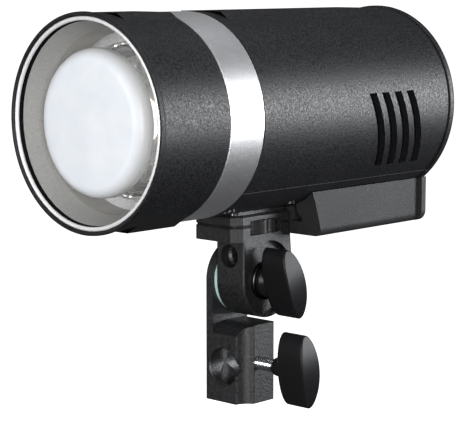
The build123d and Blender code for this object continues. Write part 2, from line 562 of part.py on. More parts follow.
SCREW_XY = [(18.0, yb(66.0)), (-18.0, yb(66.0)), (18.0, yb(104.5)), (-18.0, yb(104.5))]
with BuildPart() as lower_shell:
    with BuildSketch(front(yb(Y_SHELL_0), 0, BARREL_Z)):
        Circle(R_BODY)
        Circle(R_BODY_IN, mode=Mode.SUBTRACT)
        with BuildLine():
            Polyline((0, 0), S1, (60, -90), (-60, -90), S2, close=True)
        make_face(mode=Mode.INTERSECT)
    extrude(amount=-(Y_SHELL_1 - Y_SHELL_0))
    with BuildSketch(deck(80, 0, WHEEL_Y)):
        Circle(5.0)
    extrude(amount=12, mode=Mode.SUBTRACT)
    with BuildSketch(deck(80)):
        with Locations((8.5, -11.9), (-8.5, -11.9), (8.5, 18.3), (-8.5, 18.3)):
            Circle(1.55)
    extrude(amount=12, mode=Mode.SUBTRACT)
    with BuildSketch(deck(80)):
        with Locations(*SCREW_XY):
            Circle(1.3)
    extrude(amount=16, mode=Mode.SUBTRACT)
    with BuildSketch(deck(80)):
        with Locations(*SCREW_XY):
            Circle(2.7)
    extrude(amount=BARREL_Z - 38.4 - 80, mode=Mode.SUBTRACT)
lower_shell.part.label = "lower_shell"
export_step(lower_shell.part, "parts/lower_shell.step")

with BuildPart() as shell_screws:
    with BuildSketch(deck(BARREL_Z - 39.9)):
        with Locations(*SCREW_XY):
            Circle(2.5)
    extrude(amount=1.5)
    with BuildSketch(deck(BARREL_Z - 38.6)):
        with Locations(*SCREW_XY):
            Circle(1.25)
    extrude(amount=9.0)
shell_screws.part.label = "shell_screws"
export_step(shell_screws.part, "parts/shell_screws.step")

# Dark perforated liner behind the vents, one sheet on each side.
with BuildPart() as vent_liner:
    for sgn in (1, -1):
        with BuildSketch(front(yb(125.0), 0, BARREL_Z)):
            Circle(40.8)
            Circle(40.2, mode=Mode.SUBTRACT)
            with BuildLine():
                Polyline((0, 0), (sgn * pol(60, 14)[0], pol(60, 14)[1]), (sgn * pol(60, -38)[0], pol(60, -38)[1]), close=True)
            make_face(mode=Mode.INTERSECT)
        extrude(amount=-51.0)
vent_liner.part.label = "vent_liner"
export_step(vent_liner.part, "parts/vent_liner.step")

# ---------------------------------------------------------------- inside the body
with BuildPart() as capacitor_bank:
    with BuildSketch(front(yb(52.0), 0, BARREL_Z)):
        with Locations((12.5, 13.0), (-12.5, 13.0), (12.5, -12.0), (-12.5, -12.0)):
            Circle(11.0)
    extrude(amount=-58.0)
capacitor_bank.part.label = "capacitor_bank"
export_step(capacitor_bank.part, "parts/capacitor_bank.step")

with BuildPart() as power_board:
    with BuildSketch(deck(BARREL_Z - 26.6, 0, yb(81.0))):
        Rectangle(56, 58)
    extrude(amount=1.6)
power_board.part.label = "power_board"
export_step(power_board.part, "parts/power_board.step")

with BuildPart() as mid_frame:
    with BuildSketch(front(yb(110.0), 0, BARREL_Z)):
        Circle(40.8)
        Circle(22.5, mode=Mode.SUBTRACT)
        with Locations((0, 42.7)):
            Rectangle(60, 10, mode=Mode.SUBTRACT)
    extrude(amount=-2.0)
mid_frame.part.label = "mid_frame"
export_step(mid_frame.part, "parts/mid_frame.step")

with BuildPart() as fan_frame:
    with BuildSketch(front(yb(112.0), 0, BARREL_Z)):
        RectangleRounded(50, 50, 4)
        Circle(23.5, mode=Mode.SUBTRACT)
    extrude(amount=-11.0)
    with BuildSketch(front(yb(121.0), 0, BARREL_Z)):
        Circle(9.5)
        with PolarLocations(16.5, 4, start_angle=45):
            Rectangle(15.0, 2.6)
    extrude(amount=-2.0)
    with BuildSketch(front(yb(113.5), 0, BARREL_Z)):
        Circle(1.5)
    extrude(amount=-8.0)
fan_frame.part.label = "fan_frame"
export_step(fan_frame.part, "parts/fan_frame.step")

with BuildPart() as fan_rotor:
    with BuildSketch(front(yb(113.2), 0, BARREL_Z)):
        Circle(9.0)
        Circle(1.55, mode=Mode.SUBTRACT)
    extrude(amount=-7.3)
    for i in range(7):
        a = math.radians(360 / 7 * i)
        rad, tan = (math.cos(a), 0, math.sin(a)), (-math.sin(a), 0, math.cos(a))
        lean = math.radians(38)
        nrm = (tan[0] * math.cos(lean), math.sin(lean), tan[2] * math.cos(lean))
        with BuildSketch(Plane(origin=(15.3 * rad[0], yb(116.8), BARREL_Z + 15.3 * rad[2]), x_dir=rad, z_dir=nrm)):
            Rectangle(14.0, 8.0)
        extrude(amount=0.5, both=True)
fan_rotor.part.label = "fan_rotor"
export_step(fan_rotor.part, "parts/fan_rotor.step")

# ================================================================ rear end
with BuildPart() as rear_cap:
    with BuildSketch(PROF):
        with BuildLine():
            Polyline((183.0, 38.5), (183.0, 40.8), (Y_SHELL_1, 40.8), (Y_SHELL_1, 42.9), (Y_CAP_0, 42.9), (Y_CAP_0, R_CAP - 0.25), (Y_CAP_0 + 0.25, R_CAP), (187.8, R_CAP))
            ThreePointArc((187.8, R_CAP), (189.35, 43.98), (190.0, 42.5))
            Polyline((190.0, 42.5), (190.0, 39.2), (187.5, 39.2), (187.5, 38.5), (183.0, 38.5))
        make_face()
    revolve(axis=BARREL)
    # flush with the shell where the battery slides past
    with BuildSketch(front(yb(Y_SHELL_1 - 0.01), 0, BARREL_Z)):
        with Locations((0, -45.0)):
            Rectangle(2 * BATT_HALF + 1.0, 30.0)
        Circle(R_BODY, mode=Mode.SUBTRACT)
    extrude(amount=-6.0, mode=Mode.SUBTRACT)
rear_cap.part.label = "rear_cap"
export_step(rear_cap.part, "parts/rear_cap.step")

KEYS = {"key_menu": (25.0, -6.0), "key_mode": (-25.0, -6.0), "key_test": (21.0, -20.5), "key_lamp": (-21.0, -20.5)}
KEY_W, KEY_H = 9.0, 6.0
DIAL_Z = -14.0
with BuildPart() as rear_panel:
    with BuildSketch(front(yb(187.5), 0, BARREL_Z)):
        Circle(39.1)
        with Locations((0, 14.0)):
            Rectangle(44.0, 24.0, mode=Mode.SUBTRACT)
        with Locations(*KEYS.values()):
            RectangleRounded(KEY_W + 0.5, KEY_H + 0.5, 1.5, mode=Mode.SUBTRACT)
        with Locations((0, DIAL_Z)):
            Circle(3.6, mode=Mode.SUBTRACT)
        with Locations((0, -31.5)):
            Rectangle(10.6, 5.6, mode=Mode.SUBTRACT)
        with Locations((14.5, -31.0)):
            Circle(3.0, mode=Mode.SUBTRACT)
    extrude(amount=-1.7)
rear_panel.part.label = "rear_panel"
export_step(rear_panel.part, "parts/rear_panel.step")

with BuildPart() as display_window:
    with BuildSketch(front(yb(187.6), 0, BARREL_Z + 14.0)):
        Rectangle(44.0, 24.0)
    extrude(amount=-1.8)
    chamfer(display_window.faces().sort_by(Axis.Y)[-1].edges(), length=0.3)
display_window.part.label = "display_window"
export_step(display_window.part, "parts/display_window.step")

with BuildPart() as panel_board:
    with BuildSketch(front(yb(180.6), 0, BARREL_Z)):
        Circle(38.4)
    extrude(amount=-1.6)
panel_board.part.label = "panel_board"
export_step(panel_board.part, "parts/panel_board.step")

with BuildPart() as display_module:
    with BuildSketch(front(yb(182.2), 0, BARREL_Z + 14.0)):
        Rectangle(46.0, 26.0)
    extrude(amount=-5.2)
display_module.part.label = "display_module"
export_step(display_module.part, "parts/display_module.step")

with BuildPart() as key_menu:
    with BuildSketch(front(yb(186.0), KEYS["key_menu"][0], BARREL_Z + KEYS["key_menu"][1])):
        RectangleRounded(KEY_W + 1.6, KEY_H + 1.6, 1.5)
    extrude(amount=-1.0)
    with BuildSketch(front(yb(186.5), KEYS["key_menu"][0], BARREL_Z + KEYS["key_menu"][1])):
        RectangleRounded(KEY_W, KEY_H, 1.3)
    extrude(amount=-3.7)
    fillet(key_menu.faces().sort_by(Axis.Y)[-1].edges(), radius=0.5)
key_menu.part.label = "key_menu"
export_step(key_menu.part, "parts/key_menu.step")

with BuildPart() as key_mode:
    with BuildSketch(front(yb(186.0), KEYS["key_mode"][0], BARREL_Z + KEYS["key_mode"][1])):
        RectangleRounded(KEY_W + 1.6, KEY_H + 1.6, 1.5)
    extrude(amount=-1.0)
    with BuildSketch(front(yb(186.5), KEYS["key_mode"][0], BARREL_Z + KEYS["key_mode"][1])):
        RectangleRounded(KEY_W, KEY_H, 1.3)
    extrude(amount=-3.7)
    fillet(key_mode.faces().sort_by(Axis.Y)[-1].edges(), radius=0.5)
key_mode.part.label = "key_mode"
export_step(key_mode.part, "parts/key_mode.step")

with BuildPart() as key_test:
    with BuildSketch(front(yb(186.0), KEYS["key_test"][0], BARREL_Z + KEYS["key_test"][1])):
        RectangleRounded(KEY_W + 1.6, KEY_H + 1.6, 1.5)
    extrude(amount=-1.0)
    with BuildSketch(front(yb(186.5), KEYS["key_test"][0], BARREL_Z + KEYS["key_test"][1])):
        RectangleRounded(KEY_W, KEY_H, 1.3)
    extrude(amount=-3.7)
    fillet(key_test.faces().sort_by(Axis.Y)[-1].edges(), radius=0.5)
key_test.part.label = "key_test"
export_step(key_test.part, "parts/key_test.step")

with BuildPart() as key_lamp:
    with BuildSketch(front(yb(186.0), KEYS["key_lamp"][0], BARREL_Z + KEYS["key_lamp"][1])):
        RectangleRounded(KEY_W + 1.6, KEY_H + 1.6, 1.5)
    extrude(amount=-1.0)
    with BuildSketch(front(yb(186.5), KEYS["key_lamp"][0], BARREL_Z + KEYS["key_lamp"][1])):
        RectangleRounded(KEY_W, KEY_H, 1.3)
    extrude(amount=-3.7)
    fillet(key_lamp.faces().sort_by(Axis.Y)[-1].edges(), radius=0.5)
key_lamp.part.label = "key_lamp"
export_step(key_lamp.part, "parts/key_lamp.step")

# Rotary control: the shaft presses in, the dial turns on it.
with BuildPart() as dial_shaft:
    with BuildSketch(front(yb(183.6), 0, BARREL_Z + DIAL_Z)):
        Circle(5.0)
    extrude(amount=-1.4)
    with BuildSketch(front(yb(184.5), 0, BARREL_Z + DIAL_Z)):
        Circle(2.9)
    extrude(amount=-9.5)
dial_shaft.part.label = "dial_shaft"
export_step(dial_shaft.part, "parts/dial_shaft.step")

with BuildPart() as control_dial:
    with BuildSketch(front(yb(190.2), 0, BARREL_Z + DIAL_Z)):
        Circle(9.5)
        with PolarLocations(9.75, 30):
            Rectangle(0.9, 0.8, mode=Mode.SUBTRACT)
    extrude(amount=-6.3)
    with BuildSketch(front(yb(190.0), 0, BARREL_Z + DIAL_Z)):
        Circle(2.96)
    extrude(amount=-4.6, mode=Mode.SUBTRACT)
    with BuildSketch(front(yb(195.7), 0, BARREL_Z + DIAL_Z)):
        Circle(7.4)
    extrude(amount=-1.2, mode=Mode.SUBTRACT)
control_dial.part.label = "control_dial"
export_step(control_dial.part, "parts/control_dial.step")

with BuildPart() as power_switch:
    with BuildSketch(front(yb(186.2), 0, BARREL_Z - 31.5)):
        Rectangle(12.8, 6.4)
    extrude(amount=-1.1)
    with BuildSketch(front(yb(187.0), -2.0, BARREL_Z - 31.5)):
        RectangleRounded(6.0, 5.0, 0.8)
    extrude(amount=-3.2)
power_switch.part.label = "power_switch"
export_step(power_switch.part, "parts/power_switch.step")

with BuildPart() as sync_jack:
    with BuildSketch(front(yb(182.2), 14.5, BARREL_Z - 31.0)):
        Circle(3.0)
        Circle(1.8, mode=Mode.SUBTRACT)
    extrude(amount=-7.0)
    with BuildSketch(front(yb(182.2), 14.5, BARREL_Z - 31.0)):
        Circle(3.0)
    extrude(amount=-1.0)
sync_jack.part.label = "sync_jack"
export_step(sync_jack.part, "parts/sync_jack.step")

# ================================================================ battery and its bay
R_BAY = R_BODY + 0.3
RAIL_X = 13.0
LATCH_Z = 78.2
with BuildPart() as battery_rails:
    for sgn in (1, -1):
        with BuildSketch(front(yb(118.0), 0, BARREL_Z)):
            with Locations((sgn * RAIL_X, -44.5)):
                Rectangle(3.0, 9.0)
            with Locations((sgn * RAIL_X, -48.0)):
                Rectangle(6.4, 2.0)
            Circle(R_BODY, mode=Mode.SUBTRACT)
        extrude(amount=-62.0)
battery_rails.part.label = "battery_rails"
export_step(battery_rails.part, "parts/battery_rails.step")

with BuildPart() as battery_case:
    with BuildSketch(side(-BATT_HALF, RIM_Y)):
        with BuildLine():
            Polyline((BATT_Y_TOP, 94.5), (Y_SHELL_1, 94.5), (Y_SHELL_1, BATT_Z0), (BATT_Y_BOTTOM + 0.6, BATT_Z0))
            ThreePointArc((BATT_Y_BOTTOM + 0.6, BATT_Z0), (113.3, 83.0), (BATT_Y_TOP, 94.5))
        make_face()
    extrude(amount=2 * BATT_HALF)
    fillet(battery_case.edges().filter_by(Axis.Y).group_by(Axis.Z)[0], radius=4.0)
    with BuildSketch(front(yb(100.0), 0, BARREL_Z)):
        Circle(R_BAY)
    extrude(amount=-100, mode=Mode.SUBTRACT)
    # notch that clears the foot and the tilt head
    with BuildSketch(front(yb(100.0), 0, 85.0)):
        Rectangle(27.4, 30.0)
    extrude(amount=-13.2, mode=Mode.SUBTRACT)
    # rail channels, open in front
    for sgn in (1, -1):
        with BuildSketch(front(yb(100.0), 0, BARREL_Z)):
            with Locations((sgn * RAIL_X, -44.0)):
                Rectangle(3.8, 10.6)
            with Locations((sgn * RAIL_X, -48.0)):
                Rectangle(7.2, 2.8)
        extrude(amount=-81.0, mode=Mode.SUBTRACT)
    # pocket for the contact block
    with BuildSketch(front(yb(100.0), 0, BARREL_Z)):
        with Locations((0, -45.0)):
            Rectangle(16.0, 7.0)
    extrude(amount=-32.0, mode=Mode.SUBTRACT)
battery_case.part.label = "battery_case"
export_step(battery_case.part, "parts/battery_case.step")

with BuildPart() as battery_end:
    with BuildSketch(front(yb(Y_SHELL_1), 0, 0)):
        with Locations((0, (BATT_Z0 + 94.0) / 2 + 0.4)):
            Rectangle(2 * BATT_HALF - 2.4, 94.0 - BATT_Z0 - 1.6)
    extrude(amount=-0.3)
    with BuildSketch(front(yb(Y_CAP_0), 0, 0)):
        with Locations((0, (BATT_END_Z0 + 94.0) / 2)):
            Rectangle(2 * BATT_END_HALF, 94.0 - BATT_END_Z0)
    extrude(amount=-(LENGTH - Y_CAP_0))
    fillet(battery_end.edges().filter_by(Axis.Y).filter_by(lambda e: e.length > 3).group_by(Axis.Z)[0], radius=4.6)
    fillet(battery_end.faces().sort_by(Axis.Y)[-1].edges(), radius=1.6)
    with BuildSketch(front(yb(180.0), 0, BARREL_Z)):
        Circle(R_CAP + 0.3)
    extrude(amount=-20, mode=Mode.SUBTRACT)
    with BuildSketch(front(yb(187.0), 0, LATCH_Z)):
        RectangleRounded(18.6, 6.6, 2.0)
    extrude(amount=-4, mode=Mode.SUBTRACT)
battery_end.part.label = "battery_end"
export_step(battery_end.part, "parts/battery_end.step")

with BuildPart() as battery_latch:
    with BuildSketch(front(yb(188.6), 0, LATCH_Z)):
        RectangleRounded(18.0, 6.0, 1.7)
    extrude(amount=-1.9)
    fillet(battery_latch.faces().sort_by(Axis.Y)[-1].edges(), radius=0.5)
battery_latch.part.label = "battery_latch"
export_step(battery_latch.part, "parts/battery_latch.step")

with BuildPart() as contact_block:
    with BuildSketch(front(yb(114.0), 0, BARREL_Z)):
        with Locations((0, -44.4)):
            Rectangle(15.0, 6.6)
        Circle(R_BODY, mode=Mode.SUBTRACT)
    extrude(amount=-10.0)
contact_block.part.label = "contact_block"
export_step(contact_block.part, "parts/contact_block.step")

with BuildPart() as contact_blades:
    with BuildSketch(front(yb(124.0), 0, BARREL_Z)):
        with GridLocations(2.8, 0, 5, 1):
            with Locations((0, -45.6)):
                Rectangle(1.0, 2.2)
    extrude(amount=-4.5)
contact_blades.part.label = "contact_blades"
export_step(contact_blades.part, "parts/contact_blades.step")
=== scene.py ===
import json
import math
import bpy
import bmesh
from mathutils import Matrix, Vector, noise


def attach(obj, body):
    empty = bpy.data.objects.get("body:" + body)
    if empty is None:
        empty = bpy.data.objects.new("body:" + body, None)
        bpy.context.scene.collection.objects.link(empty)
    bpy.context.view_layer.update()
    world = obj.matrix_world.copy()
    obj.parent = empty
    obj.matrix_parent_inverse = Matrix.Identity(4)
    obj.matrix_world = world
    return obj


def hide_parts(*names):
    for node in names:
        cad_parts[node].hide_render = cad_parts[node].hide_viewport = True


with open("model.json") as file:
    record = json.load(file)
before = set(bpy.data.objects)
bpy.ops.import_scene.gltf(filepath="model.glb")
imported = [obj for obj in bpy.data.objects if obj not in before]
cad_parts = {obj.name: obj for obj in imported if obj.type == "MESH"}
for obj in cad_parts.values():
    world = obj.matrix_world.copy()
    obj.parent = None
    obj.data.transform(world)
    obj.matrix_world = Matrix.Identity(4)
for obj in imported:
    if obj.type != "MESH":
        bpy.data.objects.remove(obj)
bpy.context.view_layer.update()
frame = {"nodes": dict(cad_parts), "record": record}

NODES = frame["nodes"]
MM = 0.001
BZ, RIM = 128.1, -90.95            # barrel axis height and front rim plane, mm
HY, HZ = 6.55, 53.8                # tilt axis
SZ = 18.15                         # clamp screw axis


def yb(v):
    return RIM + v


# ------------------------------------------------------------------ camera
cam_data = bpy.data.cameras.new("camera")
cam = bpy.data.objects.new("camera", cam_data)
bpy.context.scene.collection.objects.link(cam)
cam_data.sensor_width = 36.0
cam_data.lens = 135.97
cam_data.clip_start, cam_data.clip_end = 0.02, 50.0
cam.location = (0.519886, -0.561107, 0.188171)
cam.rotation_euler = (math.radians(90 - 8.156), 0.0, math.radians(43.012))
bpy.context.scene.camera = cam

# ------------------------------------------------------------------ node helpers
MATS = {}


def new_mat(name):
    m = bpy.data.materials.new(name)
    m.use_nodes = True
    nt = m.node_tree
    for n in list(nt.nodes):
        nt.nodes.remove(n)
    out = nt.nodes.new("ShaderNodeOutputMaterial")
    bsdf = nt.nodes.new("ShaderNodeBsdfPrincipled")
    nt.links.new(bsdf.outputs["BSDF"], out.inputs["Surface"])
    MATS[name] = m
    return m, nt, bsdf


def coords(nt, scale=(1, 1, 1), rot=(0, 0, 0)):
    tc = nt.nodes.new("ShaderNodeTexCoord")
    mp = nt.nodes.new("ShaderNodeMapping")
    mp.inputs["Scale"].default_value = scale
    mp.inputs["Rotation"].default_value = rot
    nt.links.new(tc.outputs["Object"], mp.inputs["Vector"])
    return mp.outputs["Vector"]


def noise_tex(nt, vec, scale, detail=2.0, rough=0.5, distort=0.0):
    n = nt.nodes.new("ShaderNodeTexNoise")
    n.inputs["Scale"].default_value = scale
    n.inputs["Detail"].default_value = detail
    n.inputs["Roughness"].default_value = rough
    n.inputs["Distortion"].default_value = distort
    nt.links.new(vec, n.inputs["Vector"])
    return n.outputs["Fac"]


def voronoi(nt, vec, scale, feature="F1", rnd=1.0):
    n = nt.nodes.new("ShaderNodeTexVoronoi")
    n.feature = feature
    n.inputs["Scale"].default_value = scale
    n.inputs["Randomness"].default_value = rnd
    nt.links.new(vec, n.inputs["Vector"])
    return n.outputs["Distance"]


def ramp(nt, fac, stops):
    r = nt.nodes.new("ShaderNodeValToRGB")
    el = r.color_ramp.elements
    while len(el) < len(stops):
        el.new(0.5)
    for e, (p, c) in zip(el, stops):
        e.position = p
        e.color = (*c, 1.0) if len(c) == 3 else c
    nt.links.new(fac, r.inputs["Fac"])
    return r.outputs["Color"]


def remap(nt, fac, a, b, c, d):
    n = nt.nodes.new("ShaderNodeMapRange")
    for i, v in enumerate((a, b, c, d)):
        n.inputs[i + 1].default_value = v
    nt.links.new(fac, n.inputs[0])
    return n.outputs[0]


def mathn(nt, op, a, b):
    n = nt.nodes.new("ShaderNodeMath")
    n.operation = op
    for i, v in enumerate((a, b)):
        if isinstance(v, (int, float)):
            n.inputs[i].default_value = v
        else:
            nt.links.new(v, n.inputs[i])
    return n.outputs[0]


def bump(nt, bsdf, height, strength, dist, prev=None):
    b = nt.nodes.new("ShaderNodeBump")
    b.inputs["Strength"].default_value = strength
    b.inputs["Distance"].default_value = dist
    nt.links.new(height, b.inputs["Height"])
    if prev is not None:
        nt.links.new(prev, b.inputs["Normal"])
    if bsdf is not None:
        nt.links.new(b.outputs["Normal"], bsdf.inputs["Normal"])
    return b.outputs["Normal"]


def grained(name, dark, light, rough=(0.38, 0.5), grain=1700.0, strength=0.35, dist=0.00012, spec=0.5, metal=0.0, coat=0.0, coat_r=0.2, edge=None, wear=0.0):
    """A moulded, sprayed or cast surface: fine grain in the bump, a little of it in the colour and the gloss."""
    m, nt, b = new_mat(name)
    vec = coords(nt)
    g = noise_tex(nt, vec, grain, 3.0, 0.62)
    big = noise_tex(nt, vec, grain / 34.0, 3.0, 0.5)
    mix = mathn(nt, "ADD", mathn(nt, "MULTIPLY", g, 0.72), mathn(nt, "MULTIPLY", big, 0.28))
    col = ramp(nt, mix, [(0.36, dark), (0.64, light)])
    if edge is not None:
        geo = nt.nodes.new("ShaderNodeNewGeometry")
        e = ramp(nt, geo.outputs["Pointiness"], [(0.5 + wear * 0.5, (0, 0, 0)), (0.5 + wear, (1, 1, 1))])
        mx = nt.nodes.new("ShaderNodeMix")
        mx.data_type = "RGBA"
        nt.links.new(e, mx.inputs[0])
        nt.links.new(col, mx.inputs[6])
        mx.inputs[7].default_value = (*edge, 1)
        col = mx.outputs[2]
    nt.links.new(col, b.inputs["Base Color"])
    nt.links.new(remap(nt, g, 0.3, 0.7, rough[0], rough[1]), b.inputs["Roughness"])
    bump(nt, b, mix, strength, dist)
    b.inputs["Specular IOR Level"].default_value = spec
    b.inputs["Metallic"].default_value = metal
    b.inputs["Coat Weight"].default_value = coat
    b.inputs["Coat Roughness"].default_value = coat_r
    return m


def metal_mat(name, dark, light, rough=(0.25, 0.4), stretch=(1, 1, 1), scale=900.0, strength=0.12, aniso=0.0, dist=0.00004, metal=1.0):
    m, nt, b = new_mat(name)
    vec = coords(nt, stretch)
    g = noise_tex(nt, vec, scale, 4.0, 0.6)
    big = noise_tex(nt, coords(nt), scale / 25.0, 2.0, 0.5)
    nt.links.new(ramp(nt, mathn(nt, "ADD", mathn(nt, "MULTIPLY", g, 0.6), mathn(nt, "MULTIPLY", big, 0.4)), [(0.35, dark), (0.65, light)]), b.inputs["Base Color"])
    nt.links.new(remap(nt, g, 0.3, 0.7, rough[0], rough[1]), b.inputs["Roughness"])
    bump(nt, b, g, strength, dist)
    b.inputs["Metallic"].default_value = metal
    b.inputs["Anisotropic"].default_value = aniso
    return m


def mats():
    grained("shell_plastic", (0.0036, 0.0038, 0.0047), (0.0120, 0.0124, 0.0142), rough=(0.34, 0.62), grain=1050, strength=0.55, dist=0.00022, spec=0.5)
    grained("nose_plastic", (0.0036, 0.0038, 0.0047), (0.0120, 0.0124, 0.0142), rough=(0.34, 0.62), grain=1050, strength=0.55, dist=0.00022, spec=0.5)
    grained("panel_plastic", (0.006, 0.006, 0.0065), (0.011, 0.011, 0.012), rough=(0.45, 0.6), grain=2400, strength=0.25, dist=0.0001, spec=0.4)
    grained("battery_grey", (0.013, 0.0131, 0.014), (0.030, 0.0302, 0.032), rough=(0.50, 0.66), grain=1300, strength=0.5, dist=0.0002, spec=0.42)
    grained("cast_black", (0.0045, 0.0046, 0.0052), (0.024, 0.0243, 0.0262), rough=(0.30, 0.52), grain=950, strength=0.75, dist=0.0003, spec=0.5)
    grained("knob_black", (0.008, 0.008, 0.009), (0.0115, 0.0115, 0.0125), rough=(0.26, 0.34), grain=2600, strength=0.10, dist=0.00006, spec=0.14)
    grained("wheel_black", (0.012, 0.012, 0.013), (0.03, 0.03, 0.032), rough=(0.16, 0.26), grain=2200, strength=0.14, dist=0.00008, spec=0.7)
    grained("key_rubber", (0.02, 0.02, 0.022), (0.03, 0.03, 0.032), rough=(0.55, 0.7), grain=2600, strength=0.2, dist=0.00006)
    grained("seat_rubber", (0.10, 0.10, 0.10), (0.14, 0.14, 0.14), rough=(0.55, 0.7), grain=2000, strength=0.2, dist=0.00006)
    grained("mesh_black", (0.002, 0.002, 0.0022), (0.004, 0.004, 0.0045), rough=(0.7, 0.85), grain=1800, strength=0.3, dist=0.0001, spec=0.1)
    grained("fan_black", (0.008, 0.008, 0.009), (0.014, 0.014, 0.015), rough=(0.4, 0.5), grain=1800, strength=0.15, dist=0.00006)
    grained("inner_grey", (0.32, 0.318, 0.31), (0.39, 0.388, 0.38), rough=(0.5, 0.62), grain=900, strength=0.16, dist=0.00008)
    grained("groove_black", (0.0015, 0.0015, 0.0016), (0.003, 0.003, 0.0032), rough=(0.6, 0.75), grain=1800, strength=0.1, dist=0.00004, spec=0.12)
    grained("ceramic", (0.62, 0.6, 0.56), (0.74, 0.72, 0.68), rough=(0.35, 0.5), grain=900, strength=0.12, dist=0.00006)
    grained("circuit", (0.01, 0.055, 0.025), (0.02, 0.09, 0.04), rough=(0.3, 0.45), grain=600, strength=0.2, dist=0.00006)
    grained("cap_sleeve", (0.008, 0.012, 0.04), (0.012, 0.018, 0.06), rough=(0.2, 0.3), grain=500, strength=0.08, dist=0.00004)
    grained("led_yellow", (0.75, 0.55, 0.08), (0.9, 0.7, 0.16), rough=(0.35, 0.5), grain=1800, strength=0.15, dist=0.00005)
    grained("display_glass", (0.004, 0.0042, 0.005), (0.006, 0.0062, 0.0072), rough=(0.06, 0.1), grain=300, strength=0.02, dist=0.00002)
    grained("fibre", (0.36, 0.56, 0.52), (0.62, 0.80, 0.76), rough=(0.55, 0.7), grain=1600, strength=0.4, dist=0.00015)
    metal_mat("ring_satin", (0.62, 0.62, 0.635), (0.78, 0.78, 0.795), rough=(0.40, 0.52), stretch=(1, 6, 1), scale=700, strength=0.08)
    # painted reflection: the rim ring is pale metal, and its near-white base colour with low metallic also paints the
    # reflection of the front light
    metal_mat("rim_bright", (0.93, 0.93, 0.94), (0.98, 0.98, 0.99), rough=(0.34, 0.46), scale=500, strength=0.04, metal=0.3)
    metal_mat("bright_zinc", (0.56, 0.57, 0.60), (0.78, 0.79, 0.80), rough=(0.14, 0.28), scale=1300, strength=0.14)
    metal_mat("black_steel", (0.03, 0.03, 0.033), (0.06, 0.06, 0.064), rough=(0.28, 0.4), scale=1300, strength=0.14)
    metal_mat("brass_part", (0.55, 0.38, 0.16), (0.70, 0.50, 0.24), rough=(0.22, 0.34), scale=1300, strength=0.12)
    metal_mat("gold_contact", (0.75, 0.52, 0.2), (0.85, 0.62, 0.26), rough=(0.15, 0.25), scale=1300, strength=0.08)
    metal_mat("alu_raw", (0.50, 0.50, 0.51), (0.66, 0.66, 0.67), rough=(0.3, 0.45), scale=900, strength=0.12)
    # speckled reflector: fine hammered cells in the bump
    m, nt, b = new_mat("reflector_chrome")
    vec = coords(nt)
    v = voronoi(nt, vec, 1900)
    g = noise_tex(nt, vec, 1500, 2, 0.5)
    nt.links.new(ramp(nt, g, [(0.35, (0.62, 0.62, 0.63)), (0.65, (0.82, 0.82, 0.82))]), b.inputs["Base Color"])
    nt.links.new(remap(nt, g, 0.3, 0.7, 0.34, 0.5), b.inputs["Roughness"])
    bump(nt, b, v, 0.4, 0.00014)
    b.inputs["Metallic"].default_value = 0.85
    # polished bowl
    m, nt, b = new_mat("bowl_chrome")
    vec = coords(nt)
    v = voronoi(nt, vec, 330)
    nt.links.new(ramp(nt, v, [(0.12, (0.96, 0.96, 0.96)), (0.55, (0.9, 0.9, 0.9)), (0.8, (0.5, 0.5, 0.5))]), b.inputs["Base Color"])
    nt.links.new(remap(nt, noise_tex(nt, vec, 400, 2, 0.5), 0.3, 0.7, 0.12, 0.3), b.inputs["Roughness"])
    bump(nt, b, v, 0.7, 0.001)
    b.inputs["Metallic"].default_value = 0.6
    # frosted glass
    m, nt, b = new_mat("frosted_glass")
    vec = coords(nt)
    g = noise_tex(nt, vec, 90, 3, 0.5)
    f = noise_tex(nt, vec, 2600, 2, 0.5)
    face = ramp(nt, g, [(0.3, (0.80, 0.85, 0.93)), (0.7, (0.87, 0.91, 0.97))])
    sep = nt.nodes.new("ShaderNodeSeparateXYZ")
    nt.links.new(vec, sep.inputs[0])
    dz = mathn(nt, "SUBTRACT", sep.outputs[2], BZ * MM)
    rad = mathn(nt, "SQRT", mathn(nt, "ADD", mathn(nt, "MULTIPLY", sep.outputs[0], sep.outputs[0]), mathn(nt, "MULTIPLY", dz, dz)), 0.0)
    # painted shade: the cap's rolled edge (radius 26.2 to 29.8 mm) turns grey, standing in for the shading on the
    # curved edge
    edge = nt.nodes.new("ShaderNodeMix")
    edge.data_type = "RGBA"
    nt.links.new(remap(nt, rad, 0.0262, 0.0298, 0.0, 1.0), edge.inputs[0])
    nt.links.new(face, edge.inputs[6])
    # painted shade: grey of the rolled edge
    edge.inputs[7].default_value = (0.60, 0.61, 0.615, 1)
    nt.links.new(edge.outputs[2], b.inputs["Base Color"])
    nt.links.new(remap(nt, f, 0.3, 0.7, 0.34, 0.46), b.inputs["Roughness"])
    b.inputs["Subsurface Weight"].default_value = 0.35
    b.inputs["Subsurface Radius"].default_value = (1.0, 1.0, 1.0)
    b.inputs["Subsurface Scale"].default_value = 0.006
    bump(nt, b, f, 0.1, 0.00004)
    # clear glass
    m, nt, b = new_mat("clear_glass")
    vec = coords(nt)
    g = noise_tex(nt, vec, 120, 2, 0.5)
    nt.links.new(ramp(nt, g, [(0.3, (0.93, 0.95, 0.96)), (0.7, (0.98, 0.99, 1.0))]), b.inputs["Base Color"])
    nt.links.new(remap(nt, g, 0.3, 0.7, 0.0, 0.03), b.inputs["Roughness"])
    b.inputs["IOR"].default_value = 1.5
    b.inputs["Specular IOR Level"].default_value = 1.0
    b.inputs["Alpha"].default_value = 0.24


mats()


